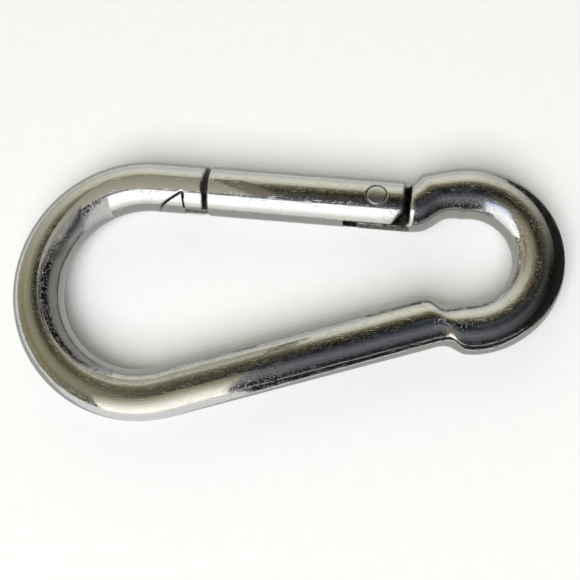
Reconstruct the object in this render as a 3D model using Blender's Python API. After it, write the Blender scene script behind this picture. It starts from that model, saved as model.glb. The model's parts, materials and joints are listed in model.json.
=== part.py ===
# Pear-shaped spring snap hook: one bent round bar, a hinged gate, its rivet, spring and plunger.
# Frame: X runs from the bow to the eye, Y towards the gate, Z up through the bar's thickness.
# The origin is under the middle of the hook, on the surface it lies on.
import bmesh
import bpy
from math import atan2, cos, pi, radians, sin, sqrt, tan

MM = 0.001

# The bar and the hook's outline
BAR_RADIUS = 5.5 * MM
BAR_SIDES = 24
OVERALL_LENGTH = 120.0 * MM
BOW_RADIUS = 23.5 * MM                  # centreline of the big bend
EYE_RADIUS = 14.9 * MM                  # centreline of the small bend
LEG_TAPER = radians(10.3)               # each leg leans this much towards the eye
BOW_SEGMENTS = 26
EYE_SEGMENTS = 18

# The side steps between the legs and the eye, measured along X from the bow's centre
LEG_STEP = (62.3 * MM, 65.7 * MM)
GATE_STEP = (61.1 * MM, 64.7 * MM)
STEP_SEGMENTS = 6

# Distances along the gate's centreline, from where it leaves the bow
NOSE_FACE = 11.35 * MM
GATE_SHOULDER = 12.25 * MM
GATE_HEEL = 55.1 * MM
BODY_SHOULDER = 56.3 * MM
EDGE_CHAMFER = 0.4 * MM

# The pivot, along the gate and outwards from its centreline
PIVOT_ALONG = 49.2 * MM
PIVOT_OUT = 0.4 * MM
GATE_TRAVEL = radians(38)

# The nose joint: a cross head in a three-cornered notch, on a neck in a fork
CLEARANCE = 0.3 * MM
NOTCH_APEX = (6.9 * MM, -1.9 * MM)
NOTCH_TOE = (1.3 * MM, -5.25 * MM)
BEARING_RADIUS = 42.25 * MM             # the fork's bearing face, about the pivot
FORK_END = 6.6 * MM
FORK_TOP = -0.8 * MM
NECK_THICKNESS = 3.0 * MM
NECK_BOTTOM = -5.0 * MM
HEAD_TIP_FLAT = 0.4 * MM                # the head's sharp tip is cut off this far
HEAD_OVERLAP = 2.0 * MM                 # of the head's blank past the fork's end

# The hinge: a tongue on the body in a slot that opens on the gate's inner side
TONGUE_THICKNESS = 3.6 * MM
TONGUE_TOP = 3.6 * MM                   # above the pivot
TONGUE_REACH = 5.4 * MM                 # from the pivot to the face that the plunger presses
TONGUE_BACK = 0.3 * MM                  # how far the tongue's foot stands behind the end of its cam
CAM_OVERRUN = 1.03                      # the cam goes on a little past the full travel
SLOT_START = 42.25 * MM
HEEL_CHAMFER_END = -2.6 * MM
HEEL_CHAMFER_LENGTH = 3.2 * MM
RIVET_RADIUS = 2.1 * MM
RIVET_SIDES = 32
CUT_MARGIN = 1.0 * MM                   # how far a cutter runs past what it cuts

# The spring, its bore and its plunger, on a line offset inwards from the pivot
PLUNGER_OFFSET = 1.4 * MM
BORE_RADIUS = 2.8 * MM
BORE_BOTTOM = 20.0 * MM
BORE_SIDES = 24
PLUNGER_RADIUS = 2.5 * MM
PLUNGER_HEAD_LENGTH = 4.4 * MM
STEM_RADIUS = 1.1 * MM
STEM_LENGTH = 4.0 * MM
STEM_BEVEL = (0.2 * MM, 0.3 * MM)       # across and along the stem
DOME_HEIGHT = 1.4 * MM
DOME_SWEEP = radians(80)
SPRING_WIRE = 0.7 * MM
SPRING_RADIUS = 2.05 * MM               # centre of the wire
SPRING_TURNS = 12
SPRING_STEPS = 14                       # per turn
WIRE_SIDES = 6

BOW_CENTRE = -OVERALL_LENGTH / 2 + BOW_RADIUS + BAR_RADIUS
EYE_CENTRE = OVERALL_LENGTH / 2 - EYE_RADIUS - BAR_RADIUS
CIRCUMRADIUS = BAR_RADIUS / cos(pi / BAR_SIDES)
PLUNGER_LINE = -PLUNGER_OFFSET          # below the pivot


def link(name, mesh, material, parent=None):
    obj = bpy.data.objects.new(name, mesh)
    bpy.context.scene.collection.objects.link(obj)
    obj.parent = parent
    if material:
        mesh.materials.append(material)
    return obj


def steel(name, colour, roughness):
    material = bpy.data.materials.new(name)
    material.use_nodes = True
    shader = material.node_tree.nodes["Principled BSDF"]
    shader.inputs["Base Color"].default_value = (*colour, 1.0)
    shader.inputs["Metallic"].default_value = 1.0
    shader.inputs["Roughness"].default_value = roughness
    return material


def loft(name, rings):
    """A closed skin over a row of rings with the same number of points, capped at both ends."""
    form = bmesh.new()
    loops = [[form.verts.new(point) for point in ring] for ring in rings]
    for one, two in zip(loops, loops[1:]):
        for i in range(len(one)):
            j = (i + 1) % len(one)
            form.faces.new((one[i], one[j], two[j], two[i]))
    form.faces.new(list(reversed(loops[0])))
    form.faces.new(loops[-1])
    return finished_mesh(name, form)


def prism(name, outline, low, high):
    """A plate with the given outline in the XY plane, from low to high in Z."""
    return loft(name, [[(x, y, z) for x, y in outline] for z in (low, high)])


def finished_mesh(name, form):
    bmesh.ops.recalc_face_normals(form, faces=form.faces)
    mesh = bpy.data.meshes.new(name)
    form.to_mesh(mesh)
    form.free()
    mesh.shade_smooth()
    mesh.set_sharp_from_angle(angle=radians(35))
    return mesh


def box(name, x_low, x_high, y_low, y_high, half_z):
    corners = [(x_low, y_low), (x_high, y_low), (x_high, y_high), (x_low, y_high)]
    return prism(name, corners, -half_z, half_z)


def turned(name, profile, sides, y=0.0):
    """A body of revolution about a line along X at the given Y; profile is (x, radius) pairs."""
    def ring(x, radius):
        angles = [2 * pi * (k + 0.5) / sides for k in range(sides)]
        return [(x, y + radius * cos(a), radius * sin(a)) for a in angles]
    return loft(name, [ring(x, radius) for x, radius in profile])


def upright_cylinder(name, radius, half_height):
    angles = [2 * pi * k / RIVET_SIDES for k in range(RIVET_SIDES)]
    outline = [(radius * cos(a), radius * sin(a)) for a in angles]
    return prism(name, outline, -half_height, half_height)


def bar_skin(name):
    """The round bar's outer surface around the pivot."""
    reach = 2 * BAR_RADIUS
    return turned(name, [(-reach, CIRCUMRADIUS), (reach, CIRCUMRADIUS)], BAR_SIDES, -PIVOT_OUT)


def cutter(name, mesh, parent=None):
    obj = link(name, mesh, None, parent)
    obj.hide_render = True
    obj.display_type = "WIRE"
    return obj


def combine(obj, other, operation):
    modifier = obj.modifiers.new(other.name, "BOOLEAN")
    modifier.operation = operation
    modifier.solver = "EXACT"
    modifier.object = other


# Outline of the bent bar

def bar_ring(x, y, heading, stretch=1.0, radius=CIRCUMRADIUS):
    """A ring across the bar; stretch widens it sideways where it stands on a mitre."""
    points = []
    for k in range(BAR_SIDES):
        angle = 2 * pi * (k + 0.5) / BAR_SIDES
        side = radius * stretch * cos(angle)
        points.append((x - side * sin(heading), y + side * cos(heading), BAR_RADIUS + radius * sin(angle)))
    return points


def bend(centre_x, radius, start, end, segments):
    """Rings of an arc whose facets touch the true circle at their middles."""
    step = (end - start) / segments
    mitre = 1 / cos(step / 2)
    angles = [start + (i + 0.5) * step for i in range(segments)]
    return [(centre_x + radius * mitre * cos(a), radius * mitre * sin(a), a + pi / 2, mitre)
            for a in angles]


def leg_height(x):
    """Distance of a leg's centreline from the X axis."""
    foot = BOW_RADIUS * cos(LEG_TAPER)
    return foot - (x - BOW_CENTRE - BOW_RADIUS * sin(LEG_TAPER)) * tan(LEG_TAPER)


def step_stations(start, end):
    """The way from a leg to the eye, as (x, distance from the X axis, lean)."""
    stations = []
    for i in range(STEP_SEGMENTS + 1):
        part = i / STEP_SEGMENTS
        blend = part * part * (3 - 2 * part)
        x = BOW_CENTRE + start + (end - start) * part
        stations.append((x, leg_height(x) * (1 - blend) + EYE_RADIUS * blend, LEG_TAPER * (1 - blend)))
    return stations


def line_point(along, out=0.0):
    """A point on the gate's centreline, in the hook's frame."""
    reach = BOW_RADIUS + out
    return (BOW_CENTRE + reach * sin(LEG_TAPER) + along * cos(LEG_TAPER),
            reach * cos(LEG_TAPER) - along * sin(LEG_TAPER))


def body_rings():
    back = pi - LEG_TAPER
    rings = [bar_ring(*line_point(NOSE_FACE), back, radius=CIRCUMRADIUS - EDGE_CHAMFER),
             bar_ring(*line_point(NOSE_FACE - EDGE_CHAMFER), back)]
    arc = bend(BOW_CENTRE, BOW_RADIUS, pi / 2 - LEG_TAPER, 3 * pi / 2 + LEG_TAPER, BOW_SEGMENTS)
    rings += [bar_ring(*station) for station in arc]
    rings += [bar_ring(x, -y, lean) for x, y, lean in step_stations(*LEG_STEP)]
    rings += [bar_ring(*station) for station in bend(EYE_CENTRE, EYE_RADIUS, -pi / 2, pi / 2, EYE_SEGMENTS)]
    rings += [bar_ring(x, y, pi - lean) for x, y, lean in reversed(step_stations(*GATE_STEP))]
    rings += [bar_ring(*line_point(BODY_SHOULDER + EDGE_CHAMFER), back),
              bar_ring(*line_point(BODY_SHOULDER), back, radius=CIRCUMRADIUS - EDGE_CHAMFER)]
    return rings


# Shapes on the gate's centreline, measured from the pivot

def at(along, out):
    return (along - PIVOT_ALONG, out - PIVOT_OUT)


def bearing_arc(radius, low, high, steps=6):
    """Points on a circle about the pivot, on its nose side, between two distances from the centreline."""
    points = []
    for i in range(steps + 1):
        y = low + (high - low) * i / steps - PIVOT_OUT
        points.append((-sqrt(radius * radius - y * y), y))
    return points


def nose_triangle(gap):
    """The notch, or with a gap the smaller head that sits in it."""
    apex_x, apex_y = at(*NOTCH_APEX)
    toe_x, toe_y = at(*NOTCH_TOE)
    slope = atan2(apex_y - toe_y, apex_x - toe_x)
    shift_x, shift_y = gap * sin(slope), -gap * cos(slope)
    below = -BAR_RADIUS - CUT_MARGIN
    reach = (below - PIVOT_OUT - toe_y) / tan(slope)
    face = bearing_arc(BEARING_RADIUS + gap, below, NOTCH_APEX[1] - gap)
    foot = (toe_x + reach + shift_x, toe_y + reach * tan(slope) + shift_y)
    tip = (apex_x - HEAD_TIP_FLAT + shift_x, apex_y - HEAD_TIP_FLAT * tan(slope) + shift_y)
    return [foot, *face, tip]


def tongue_outline():
    """The tongue: an arc over the pivot, a slope that clears the slot, and a cam for the plunger."""
    shoulder = BODY_SHOULDER + 3 * EDGE_CHAMFER - PIVOT_ALONG
    below = -BAR_RADIUS - CUT_MARGIN
    outline = [(shoulder, below), (shoulder, TONGUE_TOP)]
    arc_steps = 5
    for i in range(arc_steps + 1):
        angle = pi / 2 + GATE_TRAVEL * i / arc_steps
        outline.append((TONGUE_TOP * cos(angle), TONGUE_TOP * sin(angle)))
    last_x, last_y = outline[-1]
    drop = (TONGUE_REACH + last_x) * tan(GATE_TRAVEL)
    outline.append((-TONGUE_REACH, last_y - drop))
    # The cam is the involute of a circle as large as the plunger's offset, so travel follows the angle
    cam_steps = 8
    for i in range(cam_steps + 1):
        angle = GATE_TRAVEL * CAM_OVERRUN * i / cam_steps
        push = TONGUE_REACH + PLUNGER_OFFSET * angle
        outline.append((-push * cos(angle) + PLUNGER_OFFSET * sin(angle),
                        -push * sin(angle) - PLUNGER_OFFSET * cos(angle)))
    outline.append((outline[-1][0] + TONGUE_BACK, below))
    return outline


def hook_body(axis, material):
    bar = loft("hook_body", body_rings())
    body = link("hook_body", bar, material)
    beyond = 2 * BAR_RADIUS
    half = TONGUE_THICKNESS / 2
    tongue = cutter("tongue", prism("tongue", tongue_outline(), -half, half), axis)
    combine(tongue, cutter("tongue_skin", bar_skin("tongue_skin"), axis), "INTERSECT")
    combine(body, tongue, "UNION")
    notch = cutter("notch", prism("notch", nose_triangle(0.0), -beyond, beyond), axis)
    combine(body, notch, "DIFFERENCE")
    start, _ = at(FORK_END, 0)
    end, _ = at(NOSE_FACE + CUT_MARGIN, 0)
    fork_half = NECK_THICKNESS / 2 + CLEARANCE
    fork = box("fork", start, end, -beyond, FORK_TOP - PIVOT_OUT, fork_half)
    combine(body, cutter("fork", fork, axis), "DIFFERENCE")
    hole = upright_cylinder("tongue_hole", RIVET_RADIUS + CLEARANCE, beyond)
    combine(body, cutter("tongue_hole", hole, axis), "DIFFERENCE")
    return body


def gate(axis, material):
    shoulder, centre = at(GATE_SHOULDER, 0)
    heel, _ = at(GATE_HEEL, 0)
    profile = [(shoulder, CIRCUMRADIUS - EDGE_CHAMFER), (shoulder + EDGE_CHAMFER, CIRCUMRADIUS),
               (heel - EDGE_CHAMFER, CIRCUMRADIUS), (heel, CIRCUMRADIUS - EDGE_CHAMFER)]
    latch = link("gate", turned("gate", profile, BAR_SIDES, centre), material, axis)
    beyond = 2 * BAR_RADIUS

    head_start, _ = at(0.0, 0)
    head_end, _ = at(FORK_END + HEAD_OVERLAP, 0)
    head = turned("head", [(head_start, CIRCUMRADIUS), (head_end, CIRCUMRADIUS)], BAR_SIDES, centre)
    head = cutter("head", head, axis)
    head_outline = prism("head_outline", nose_triangle(CLEARANCE), -beyond, beyond)
    combine(head, cutter("head_outline", head_outline, axis), "INTERSECT")
    combine(latch, head, "UNION")
    neck_start, neck_low = at(FORK_END + CLEARANCE, NECK_BOTTOM)
    neck = box("neck", neck_start, shoulder + 2 * EDGE_CHAMFER, neck_low,
               FORK_TOP - CLEARANCE - PIVOT_OUT, NECK_THICKNESS / 2)
    combine(latch, cutter("neck", neck, axis), "UNION")

    slot_start, _ = at(SLOT_START, 0)
    slot = box("slot", slot_start, heel + CUT_MARGIN, -beyond, TONGUE_TOP + CLEARANCE,
               TONGUE_THICKNESS / 2 + CLEARANCE)
    combine(latch, cutter("slot", slot, axis), "DIFFERENCE")
    bore_bottom, _ = at(BORE_BOTTOM, 0)
    bore_profile = [(bore_bottom, BORE_RADIUS), (heel + CUT_MARGIN, BORE_RADIUS)]
    bore = turned("bore", bore_profile, BORE_SIDES, PLUNGER_LINE)
    combine(latch, cutter("bore", bore, axis), "DIFFERENCE")
    hole = upright_cylinder("gate_hole", RIVET_RADIUS + CLEARANCE, beyond)
    combine(latch, cutter("gate_hole", hole, axis), "DIFFERENCE")

    # The heel's inner corner is cut away so that it clears the body's shoulder as the gate opens
    _, corner = at(0, HEEL_CHAMFER_END)
    run = HEEL_CHAMFER_LENGTH
    outline = [(heel, corner), (heel - run, corner - run), (heel - run, -beyond), (heel + run, -beyond),
               (heel + run, corner + run)]
    relief = prism("heel_relief", outline, -beyond, beyond)
    combine(latch, cutter("heel_relief", relief, axis), "DIFFERENCE")
    return latch


def hinge_rivet(axis, material):
    """The peened pin: its ends follow the gate's round surface."""
    blank = upright_cylinder("hinge_rivet", RIVET_RADIUS, 2 * BAR_RADIUS)
    pin = link("hinge_rivet", blank, material, axis)
    combine(pin, cutter("rivet_skin", bar_skin("rivet_skin"), axis), "INTERSECT")
    return pin


def spring_plunger(axis, material):
    """A domed follower with a stem that centres the spring."""
    tip = -TONGUE_REACH - CLEARANCE
    dome_steps = 5
    shoulder = tip - PLUNGER_HEAD_LENGTH
    tail = shoulder - STEM_LENGTH
    across, along = STEM_BEVEL
    profile = [(tail, STEM_RADIUS - across), (tail + along, STEM_RADIUS), (shoulder, STEM_RADIUS),
               (shoulder, PLUNGER_RADIUS)]
    for i in range(dome_steps + 1):
        angle = DOME_SWEEP * i / dome_steps
        rise = DOME_HEIGHT * sin(angle) / sin(DOME_SWEEP)
        profile.append((tip - DOME_HEIGHT + rise, PLUNGER_RADIUS * cos(angle)))
    mesh = turned("spring_plunger", profile, BORE_SIDES, PLUNGER_LINE)
    return link("spring_plunger", mesh, material, axis)


def gate_spring(axis, material):
    """A round-wire compression spring between the bore's bottom and the plunger's shoulder."""
    bottom, _ = at(BORE_BOTTOM, 0)
    top = -TONGUE_REACH - CLEARANCE - PLUNGER_HEAD_LENGTH
    margin = CLEARANCE + SPRING_WIRE / 2
    length = top - bottom - 2 * margin
    rise = length / (2 * pi * SPRING_TURNS)
    slope = atan2(rise, SPRING_RADIUS)
    rings = []
    for i in range(SPRING_TURNS * SPRING_STEPS + 1):
        turn = 2 * pi * i / SPRING_STEPS
        x = bottom + margin + rise * turn
        ring = []
        for k in range(WIRE_SIDES):
            angle = 2 * pi * k / WIRE_SIDES
            radius = SPRING_RADIUS + SPRING_WIRE / 2 * cos(angle)
            lift = SPRING_WIRE / 2 * sin(angle)
            # The ring stands square to the wire, so its lift leans back along the turn
            back = lift * sin(slope)
            ring.append((x + lift * cos(slope),
                         PLUNGER_LINE + radius * cos(turn) + back * sin(turn),
                         radius * sin(turn) - back * cos(turn)))
        rings.append(ring)
    mesh = loft("gate_spring", rings)
    return link("gate_spring", mesh, material, axis)


def main():
    for obj in list(bpy.data.objects):
        bpy.data.objects.remove(obj, do_unlink=True)
    axis = bpy.data.objects.new("gate_hinge_axis", None)
    axis.location = (*line_point(PIVOT_ALONG, PIVOT_OUT), BAR_RADIUS)
    axis.rotation_euler = (0.0, 0.0, -LEG_TAPER)
    bpy.context.scene.collection.objects.link(axis)
    plated = (0.72, 0.72, 0.70)
    hook_body(axis, steel("plated_bar", plated, 0.25))
    gate(axis, steel("plated_gate", plated, 0.25))
    hinge_rivet(axis, steel("plated_rivet", (0.66, 0.66, 0.65), 0.3))
    gate_spring(axis, steel("spring_wire", (0.55, 0.55, 0.56), 0.3))
    spring_plunger(axis, steel("turned_plunger", (0.60, 0.60, 0.60), 0.35))


main()
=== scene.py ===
import json
from math import atan2, cos, pi, radians, sin, sqrt, tan

import bmesh
import bpy
import numpy as np
from mathutils import Matrix, Vector
from mathutils.bvhtree import BVHTree
from mathutils.kdtree import KDTree


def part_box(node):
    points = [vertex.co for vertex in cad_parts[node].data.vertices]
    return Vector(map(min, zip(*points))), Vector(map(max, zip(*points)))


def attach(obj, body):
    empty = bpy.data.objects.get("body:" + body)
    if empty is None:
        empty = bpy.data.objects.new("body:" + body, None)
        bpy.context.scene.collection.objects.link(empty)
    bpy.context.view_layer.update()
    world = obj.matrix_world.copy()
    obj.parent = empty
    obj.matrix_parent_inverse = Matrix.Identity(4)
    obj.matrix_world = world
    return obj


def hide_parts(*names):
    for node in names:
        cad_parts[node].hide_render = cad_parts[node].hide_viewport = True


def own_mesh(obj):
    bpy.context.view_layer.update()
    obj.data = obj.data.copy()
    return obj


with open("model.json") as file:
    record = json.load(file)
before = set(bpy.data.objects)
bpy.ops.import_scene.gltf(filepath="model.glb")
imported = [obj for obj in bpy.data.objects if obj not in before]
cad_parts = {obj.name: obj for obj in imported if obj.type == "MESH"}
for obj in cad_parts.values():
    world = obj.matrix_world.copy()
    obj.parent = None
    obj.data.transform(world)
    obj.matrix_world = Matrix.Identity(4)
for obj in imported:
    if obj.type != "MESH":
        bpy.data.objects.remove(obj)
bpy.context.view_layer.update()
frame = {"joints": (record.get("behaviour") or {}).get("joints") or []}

mm = 0.001
collection = bpy.context.scene.collection

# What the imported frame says: the bar's size, the pivot and the lean of the gate
bodyLow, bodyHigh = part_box("hook_body")
jointFacts = {joint["name"]: joint for joint in frame["joints"]}
pivot = Vector(jointFacts["gate_hinge"]["pos_m"])
towardsNose = Vector(jointFacts["plunger_slide"]["axis"])
barRadius = (bodyHigh.z - bodyLow.z) / 2
legTaper = atan2(towardsNose.y, -towardsNose.x)

hookSizes = {
    "bowRadius": 23.5 * mm,         # centreline of the wide bend
    "eyeRadius": 14.9 * mm,         # centreline of the small bend
    "legStep": (61.6 * mm, 67.2 * mm),      # along X from the bow's centre
    "legSwing": 0.2,
    "gateStep": (60.2 * mm, 65.6 * mm),
    "gateSwing": -0.48,
    "stepMelt": 5.5 * mm,           # reach of the rounding around each step
    "meltRounds": 60,
    "noseFace": 11.35 * mm,         # along the gate from where it leaves the bow
    "bodyShoulder": 56.3 * mm,
    "pivotAlong": 49.2 * mm,
    "pivotOut": 0.4 * mm,
    "ringSpacing": 0.5 * mm,
    "sides": 128,
    "endTaper": 0.35 * mm,
    "voxel": 0.3 * mm,
    "softRounds": 3,
    "pull": (0.18, 0.45),           # in voxels: drawn back fully within the first, never past the second
}
bowX = bodyLow.x + hookSizes["bowRadius"] + barRadius
eyeX = bodyHigh.x - hookSizes["eyeRadius"] - barRadius


# Small helpers

def linear(hexColour):
    parts = [int(hexColour[i:i + 2], 16) / 255 for i in (1, 3, 5)]
    return (*[p / 12.92 if p <= 0.04045 else ((p + 0.055) / 1.055) ** 2.4 for p in parts], 1.0)


def addNode(tree, kind, settings=None, inputs=None):
    # settings are the node's own properties; inputs are values, or sockets to link from
    node = tree.nodes.new(kind)
    for name, value in (settings or {}).items():
        setattr(node, name, value)
    for name, value in (inputs or {}).items():
        if isinstance(value, bpy.types.NodeSocket):
            tree.links.new(value, node.inputs[name])
        else:
            node.inputs[name].default_value = value
    return node


def newObject(name, mesh):
    obj = bpy.data.objects.new(name, mesh)
    collection.objects.link(obj)
    return obj


def closedMesh(name, form):
    bmesh.ops.recalc_face_normals(form, faces=form.faces)
    mesh = bpy.data.meshes.new(name)
    form.to_mesh(mesh)
    form.free()
    return mesh


def skinRings(name, rings):
    # a closed skin over rings with equal numbers of points
    form = bmesh.new()
    loops = [[form.verts.new(point) for point in ring] for ring in rings]
    for one, two in zip(loops, loops[1:]):
        for i in range(len(one)):
            j = (i + 1) % len(one)
            form.faces.new((one[i], one[j], two[j], two[i]))
    form.faces.new(list(reversed(loops[0])))
    form.faces.new(loops[-1])
    return closedMesh(name, form)


def plate(name, outline, low, high):
    return skinRings(name, [[(x, y, z) for x, y in outline] for z in (low, high)])


def block(name, xLow, xHigh, yLow, yHigh, halfHeight):
    corners = [(xLow, yLow), (xHigh, yLow), (xHigh, yHigh), (xLow, yHigh)]
    return plate(name, corners, -halfHeight, halfHeight)


def lathe(name, profile, sides, y=0.0):
    # turned about a line along X; profile is (x, radius) pairs
    angles = [2 * pi * k / sides for k in range(sides)]
    rings = [[(x, y + r * cos(a), r * sin(a)) for a in angles] for x, r in profile]
    return skinRings(name, rings)


def postMesh(name, radius, halfHeight, sides=96):
    angles = [2 * pi * k / sides for k in range(sides)]
    return plate(name, [(radius * cos(a), radius * sin(a)) for a in angles], -halfHeight, halfHeight)


# The gate's own frame: X along its centreline away from the nose, Y outwards, the pivot at zero
gateFrame = Matrix.Translation(pivot) @ Matrix.Rotation(-legTaper, 4, "Z")


def onGate(along, out):
    return along - hookSizes["pivotAlong"], out - hookSizes["pivotOut"]


def linePoint(along):
    bow = hookSizes["bowRadius"]
    return Vector((bowX + bow * sin(legTaper) + along * cos(legTaper),
                   bow * cos(legTaper) - along * sin(legTaper)))


# The bar's path, with the heading of each cross-section

def spread(start, end, spacing):
    count = max(1, round(abs(end - start) / spacing))
    return [start + (end - start) * i / count for i in range(count)]


def legHeight(x):
    foot = hookSizes["bowRadius"] * cos(legTaper)
    return foot - (x - bowX - hookSizes["bowRadius"] * sin(legTaper)) * tan(legTaper)


def sideStep(limits, swing):
    # the stretch where a leg moves over to the eye: x, distance from the X axis, lean; the press that made
    # the step also swung the cross-sections, which come back square where the eye's bend begins
    points = []
    start = bowX + limits[0]
    for x in spread(start, eyeX, hookSizes["ringSpacing"] / 2):
        part = min(1.0, (x - start) / (limits[1] - limits[0]))
        blend = part ** 3 * (10 - 15 * part + 6 * part * part)
        share = (x - start) / (eyeX - start)
        lean = legTaper * (1 - share) + swing * sin(pi * share)
        points.append((x, legHeight(x) * (1 - blend) + hookSizes["eyeRadius"] * blend, lean))
    return points


def hookPath():
    spacing, bow, eye = hookSizes["ringSpacing"], hookSizes["bowRadius"], hookSizes["eyeRadius"]
    path = [(*linePoint(s), pi - legTaper) for s in spread(hookSizes["noseFace"], 0, spacing)]
    path += [(bowX + bow * cos(a), bow * sin(a), a + pi / 2)
             for a in spread(pi / 2 - legTaper, 3 * pi / 2 + legTaper, spacing / bow)]
    footX = bowX + bow * sin(legTaper)
    path += [(x, -legHeight(x), 2 * pi + legTaper)
             for x in spread(footX, bowX + hookSizes["legStep"][0], spacing)]
    path += [(x, -y, 2 * pi + lean) for x, y, lean in sideStep(hookSizes["legStep"], hookSizes["legSwing"])]
    path += [(eyeX + eye * cos(a), eye * sin(a), a + 5 * pi / 2)
             for a in spread(-pi / 2, pi / 2, spacing / eye)]
    back = [(x, y, 3 * pi - lean) for x, y, lean in sideStep(hookSizes["gateStep"], hookSizes["gateSwing"])]
    path += [(eyeX, eye, 3 * pi)] + back[::-1]
    last = linePoint(hookSizes["bodyShoulder"])
    path += [(x, legHeight(x), 3 * pi - legTaper)
             for x in spread(bowX + hookSizes["gateStep"][0], last.x, spacing)[1:]]
    path.append((*last, 3 * pi - legTaper))
    return path


def guideObject(path):
    # a smooth guide carries the cross-sections; an attribute says how far each ring is moved sideways
    truth = [Vector((x, y)) for x, y, heading in path]
    guide, along = [truth[0].copy()], [0.0]
    for i in range(1, len(path)):
        middle = (path[i][2] + path[i - 1][2]) / 2
        ahead = Vector((cos(middle), sin(middle)))
        step = (truth[i] - truth[i - 1]).dot(ahead)
        guide.append(guide[-1] + ahead * step)
        along.append(along[-1] + step)
    mesh = bpy.data.meshes.new("guide")
    mesh.from_pydata([(*p, barRadius) for p in guide], [(i, i + 1) for i in range(len(guide) - 1)], [])
    shift = mesh.attributes.new("ringShift", "FLOAT_VECTOR", "POINT")
    shift.data.foreach_set("vector", [c for t, g in zip(truth, guide) for c in (*(t - g), 0.0)])
    total, taper = along[-1], hookSizes["endTaper"]
    ends = [min(s, total - s) for s in along]
    size = mesh.attributes.new("ringSize", "FLOAT", "POINT")
    size.data.foreach_set("value", [1 - max(0.0, taper - e) / barRadius for e in ends])
    return newObject("guide", mesh)


def sweepTree():
    tree = bpy.data.node_groups.new("sweptBar", "GeometryNodeTree")
    for name, kind in (("Geometry", "Geometry"), ("Bar Radius", "Float"), ("Sides", "Int"),
                       ("Material", "Material")):
        tree.interface.new_socket(name, in_out="INPUT", socket_type="NodeSocket" + kind)
    tree.interface.new_socket("Geometry", in_out="OUTPUT", socket_type="NodeSocketGeometry")
    given = addNode(tree, "NodeGroupInput")
    ringSize = addNode(tree, "GeometryNodeInputNamedAttribute", {"data_type": "FLOAT"}, {"Name": "ringSize"})
    ringShift = addNode(tree, "GeometryNodeInputNamedAttribute", {"data_type": "FLOAT_VECTOR"},
                        {"Name": "ringShift"})
    line = addNode(tree, "GeometryNodeMeshToCurve", None, {"Mesh": given.outputs["Geometry"]})
    ring = addNode(tree, "GeometryNodeCurvePrimitiveCircle", None,
                   {"Resolution": given.outputs["Sides"], "Radius": given.outputs["Bar Radius"]})
    swept = addNode(tree, "GeometryNodeCurveToMesh", None,
                    {"Curve": line.outputs["Curve"], "Profile Curve": ring.outputs["Curve"],
                     "Scale": ringSize.outputs["Attribute"], "Fill Caps": True})
    moved = addNode(tree, "GeometryNodeSetPosition", None,
                    {"Geometry": swept.outputs["Mesh"], "Offset": ringShift.outputs["Attribute"]})
    real = addNode(tree, "GeometryNodeRealizeInstances", None, {"Geometry": moved.outputs["Geometry"]})
    dressed = addNode(tree, "GeometryNodeSetMaterial", None,
                      {"Geometry": real.outputs["Geometry"], "Material": given.outputs["Material"]})
    addNode(tree, "NodeGroupOutput", None, {"Geometry": dressed.outputs["Geometry"]})
    return tree


def runTree(obj, tree, values):
    # sets the tree's named inputs by their identifiers, and gives back the plain mesh
    modifier = obj.modifiers.new("shape", "NODES")
    modifier.node_group = tree
    identifiers = {item.name: item.identifier for item in tree.interface.items_tree
                   if item.item_type == "SOCKET" and item.in_out == "INPUT"}
    for name, value in values.items():
        modifier[identifiers[name]] = value
    mesh = bakedMesh(obj)
    obj.modifiers.remove(modifier)
    return mesh


def bakedMesh(obj):
    obj.update_tag()
    graph = bpy.context.evaluated_depsgraph_get()
    graph.update()
    return bpy.data.meshes.new_from_object(obj.evaluated_get(graph), depsgraph=graph)


def discard(obj):
    bpy.data.objects.remove(obj, do_unlink=True)


# Cutting, rounding and drawing back to the true surface

def carve(name, mesh, steps):
    # steps are (operation, mesh) pairs, each joined to or taken from the one before
    obj = newObject(name, mesh)
    tools = []
    for operation, tool in steps:
        helper = newObject(name + "Tool", tool)
        tools.append(helper)
        modifier = obj.modifiers.new("cut", "BOOLEAN")
        modifier.operation = operation
        modifier.solver = "EXACT"
        modifier.object = helper
    result = bakedMesh(obj)
    for helper in [obj, *tools]:
        discard(helper)
    return result


def treeOf(mesh):
    co = np.empty(len(mesh.vertices) * 3)
    mesh.vertices.foreach_get("co", co)
    faces = [tuple(p.vertices) for p in mesh.polygons]
    return BVHTree.FromPolygons([Vector(v) for v in co.reshape(-1, 3)], faces)


def soften(name, exact, voxel):
    # voxel skin, relaxed so that edges get their tumbled roundness, then pulled back onto every plain face
    obj = newObject(name, exact)
    remesh = obj.modifiers.new("voxels", "REMESH")
    remesh.mode = "VOXEL"
    remesh.voxel_size = voxel
    relax = obj.modifiers.new("relax", "SMOOTH")
    relax.factor = 0.5
    relax.iterations = hookSizes["softRounds"]
    mesh = bakedMesh(obj)
    discard(obj)
    truth = treeOf(exact)
    near, far = [share * voxel for share in hookSizes["pull"]]
    for vertex in mesh.vertices:
        spot, normal, index, distance = truth.find_nearest(vertex.co)
        if distance < far:
            pull = min(1.0, (far - distance) / (far - near))
            vertex.co = vertex.co.lerp(spot, pull)
    mesh.shade_smooth()
    return mesh


def melt(mesh, centres, reach, rounds):
    # extra relaxing around a few places, fading out over the given reach
    obj = newObject("melting", mesh)
    group = obj.vertex_groups.new(name="near")
    for vertex in mesh.vertices:
        nearest = min((vertex.co.xy - centre).length for centre in centres)
        weight = min(1.0, 2 - 2 * nearest / reach)
        if weight > 0:
            group.add([vertex.index], weight, "REPLACE")
    relax = obj.modifiers.new("relax", "SMOOTH")
    relax.factor = 0.5
    relax.iterations = rounds
    relax.vertex_group = group.name
    result = bakedMesh(obj)
    discard(obj)
    return result


print("frame read: bar radius", round(barRadius / mm, 2), "mm")


# Materials

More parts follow.
